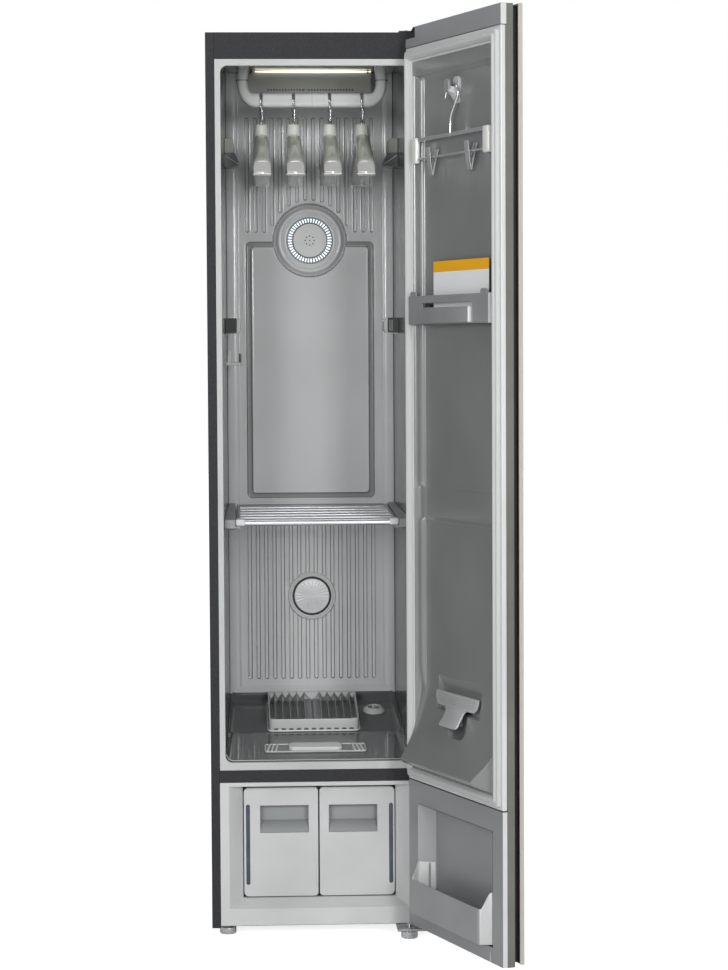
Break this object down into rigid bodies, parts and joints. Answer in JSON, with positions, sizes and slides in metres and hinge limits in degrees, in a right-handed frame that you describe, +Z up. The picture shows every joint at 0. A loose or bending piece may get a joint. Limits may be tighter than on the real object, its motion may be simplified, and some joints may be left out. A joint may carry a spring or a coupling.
{
  "type": "clothes care steam cabinet",
  "caption": "Tall narrow clothes care steam cabinet with hinged full height door, hangers on a duct bar, wire shelf and pull-out water tanks.",
  "frame": {"origin": "centre of the base pan's underside, 20 mm above the floor", "axes": "+X to the right seen from the front, towards the hinges; +Y to the rear; +Z up"},
  "size_m": [0.5975, 1.003, 1.8553],
  "materials": {
    "case_steel": "charcoal powder coat with a fine speckle",
    "light_plastic": "light grey moulded plastic, satin",
    "liner_plastic": "grey vacuum formed liner, semi gloss",
    "door_plastic": "mid grey moulded plastic, satin",
    "black_plastic": "black moulded plastic",
    "dark_glass": "opaque back painted dark glass",
    "plain_steel": "zinc plated steel",
    "silver_paint": "silver painted",
    "lamp_white": "translucent light diffuser",
    "hanger_plastic": "warm light grey moulded plastic",
    "seal_rubber": "grey soft door seal",
    "machine_black": "black enamel",
    "machine_plastic": "black moulded plastic",
    "fin_aluminium": "bare aluminium fins"
  },
  "bodies": {
    "cabinet": {"left_side_panel": "case_steel", "right_side_panel": "case_steel", "top_panel": "case_steel", "rear_panel": "case_steel", "mid_band": "case_steel", "base_pan": "plain_steel", "top_hinge": "machine_black", "bottom_hinge": "plain_steel", "front_rim": "light_plastic", "liner_left": "liner_plastic", "liner_right": "liner_plastic", "liner_ceiling": "liner_plastic", "liner_floor": "liner_plastic", "liner_back": "liner_plastic", "light_ring": "lamp_white", "ring_cap": "light_plastic", "lower_disc": "silver_paint", "ceiling_lamp": "lamp_white", "duct_bar": "light_plastic", "upper_bracket_left": "light_plastic", "upper_bracket_right": "light_plastic", "middle_bracket_left": "light_plastic", "middle_bracket_right": "light_plastic", "left_ledge": "light_plastic", "shelf_runner_left": "light_plastic", "shelf_runner_right": "light_plastic", "lower_frame": "light_plastic", "compressor": "machine_black", "heat_exchanger": "fin_aluminium", "blower_housing": "machine_plastic", "steam_generator": "machine_plastic", "control_box": "machine_plastic"},
    "door": {"door_frame": "door_plastic", "door_glass": "dark_glass", "door_grip_frame": "black_plastic", "door_inner_frame": "light_plastic", "door_gasket": "seal_rubber", "door_liner_upper": "door_plastic", "door_liner_lower": "door_plastic", "accessory_rack": "light_plastic"},
    "door_bin": {"door_bin": "light_plastic"},
    "trouser_hanger": {"trouser_hanger": "silver_paint"},
    "trouser_clip_left": {"trouser_clip_left": "silver_paint"},
    "trouser_clip_right": {"trouser_clip_right": "silver_paint"},
    "press_clip": {"press_clip": "silver_paint"},
    "left_tank": {"left_tank": "light_plastic"},
    "right_tank": {"right_tank": "light_plastic"},
    "shelf": {"wire_shelf": "silver_paint"},
    "hanger_1": {"hanger_1": "hanger_plastic"},
    "hanger_2": {"hanger_2": "hanger_plastic"},
    "hanger_3": {"hanger_3": "hanger_plastic"},
    "hanger_4": {"hanger_4": "hanger_plastic"},
    "filter_tray": {"filter_tray": "light_plastic"},
    "front_plate": {"front_plate": "light_plastic"},
    "round_cap": {"round_cap": "light_plastic"},
    "foot_front_left": {"foot_front_left": "plain_steel"},
    "foot_front_right": {"foot_front_right": "plain_steel"},
    "foot_rear_left": {"foot_rear_left": "plain_steel"},
    "foot_rear_right": {"foot_rear_right": "plain_steel"},
    "blower_wheel": {"blower_wheel": "machine_plastic"}
  },
  "joints": [
    {"name": "door_hinge", "type": "hinge", "parent": "cabinet", "child": "door", "pos_m": [0.207, -0.3085, 0.9], "axis": [0, 0, 1], "range_deg": [-110.5, 12]},
    {"name": "door_bin_lift", "type": "slide", "parent": "door", "child": "door_bin", "axis": [0, 0, 1], "range_m": [0, 0.08]},
    {"name": "trouser_hanger_swing", "type": "hinge", "parent": "door", "child": "trouser_hanger", "pos_m": [0.25464, -0.51302, 1.6913], "axis": [-0.9367, -0.3502, 0], "range_deg": [-3, 3]},
    {"name": "trouser_clip_left_slide", "type": "slide", "parent": "trouser_hanger", "child": "trouser_clip_left", "axis": [-0.3502, 0.9367, 0], "range_m": [-0.06, 0.055]},
    {"name": "trouser_clip_right_slide", "type": "slide", "parent": "trouser_hanger", "child": "trouser_clip_right", "axis": [0.3502, -0.9367, 0], "range_m": [-0.06, 0.055]},
    {"name": "press_clip_hinge", "type": "hinge", "parent": "door", "child": "press_clip", "pos_m": [0.26855, -0.50782, 0.509], "axis": [-0.3502, 0.9367, 0], "range_deg": [0, 35], "stiffness_Nm_per_rad": 0.4},
    {"name": "left_tank_slide", "type": "slide", "parent": "cabinet", "child": "left_tank", "axis": [0, -1, 0], "range_m": [0, 0.25]},
    {"name": "right_tank_slide", "type": "slide", "parent": "cabinet", "child": "right_tank", "axis": [0, -1, 0], "range_m": [0, 0.25]},
    {"name": "shelf_slide", "type": "slide", "parent": "cabinet", "child": "shelf", "axis": [0, -0.9998, -0.0209], "range_m": [0, 0.25]},
    {"name": "hanger_1_swing", "type": "hinge", "parent": "cabinet", "child": "hanger_1", "pos_m": [-0.1078, -0.025, 1.705], "axis": [1, 0, 0], "range_deg": [-5, 5]},
    {"name": "hanger_2_swing", "type": "hinge", "parent": "cabinet", "child": "hanger_2", "pos_m": [-0.0392, -0.025, 1.705], "axis": [1, 0, 0], "range_deg": [-5, 5]},
    {"name": "hanger_3_swing", "type": "hinge", "parent": "cabinet", "child": "hanger_3", "pos_m": [0.0372, -0.025, 1.705], "axis": [1, 0, 0], "range_deg": [-5, 5]},
    {"name": "hanger_4_swing", "type": "hinge", "parent": "cabinet", "child": "hanger_4", "pos_m": [0.1058, -0.025, 1.705], "axis": [1, 0, 0], "range_deg": [-5, 5]},
    {"name": "filter_tray_lift", "type": "slide", "parent": "cabinet", "child": "filter_tray", "axis": [0, 0, 1], "range_m": [0, 0.1]},
    {"name": "front_plate_lift", "type": "slide", "parent": "cabinet", "child": "front_plate", "axis": [0, 0, 1], "range_m": [0, 0.08]},
    {"name": "round_cap_lift", "type": "slide", "parent": "cabinet", "child": "round_cap", "axis": [0, 0, 1], "range_m": [0, 0.05]},
    {"name": "foot_front_left_turn", "type": "hinge", "parent": "cabinet", "child": "foot_front_left", "pos_m": [-0.19, -0.228, 0], "axis": [0, 0, 1], "continuous": true},
    {"name": "foot_front_right_turn", "type": "hinge", "parent": "cabinet", "child": "foot_front_right", "pos_m": [0.1825, -0.296, 0], "axis": [0, 0, 1], "continuous": true},
    {"name": "foot_rear_left_turn", "type": "hinge", "parent": "cabinet", "child": "foot_rear_left", "pos_m": [-0.19, 0.246, 0], "axis": [0, 0, 1], "continuous": true},
    {"name": "foot_rear_right_turn", "type": "hinge", "parent": "cabinet", "child": "foot_rear_right", "pos_m": [0.19, 0.246, 0], "axis": [0, 0, 1], "continuous": true},
    {"name": "blower_spin", "type": "hinge", "parent": "cabinet", "child": "blower_wheel", "pos_m": [0.11, 0.1724, 0.0678], "axis": [0, 1, 0], "continuous": true}
  ]
}
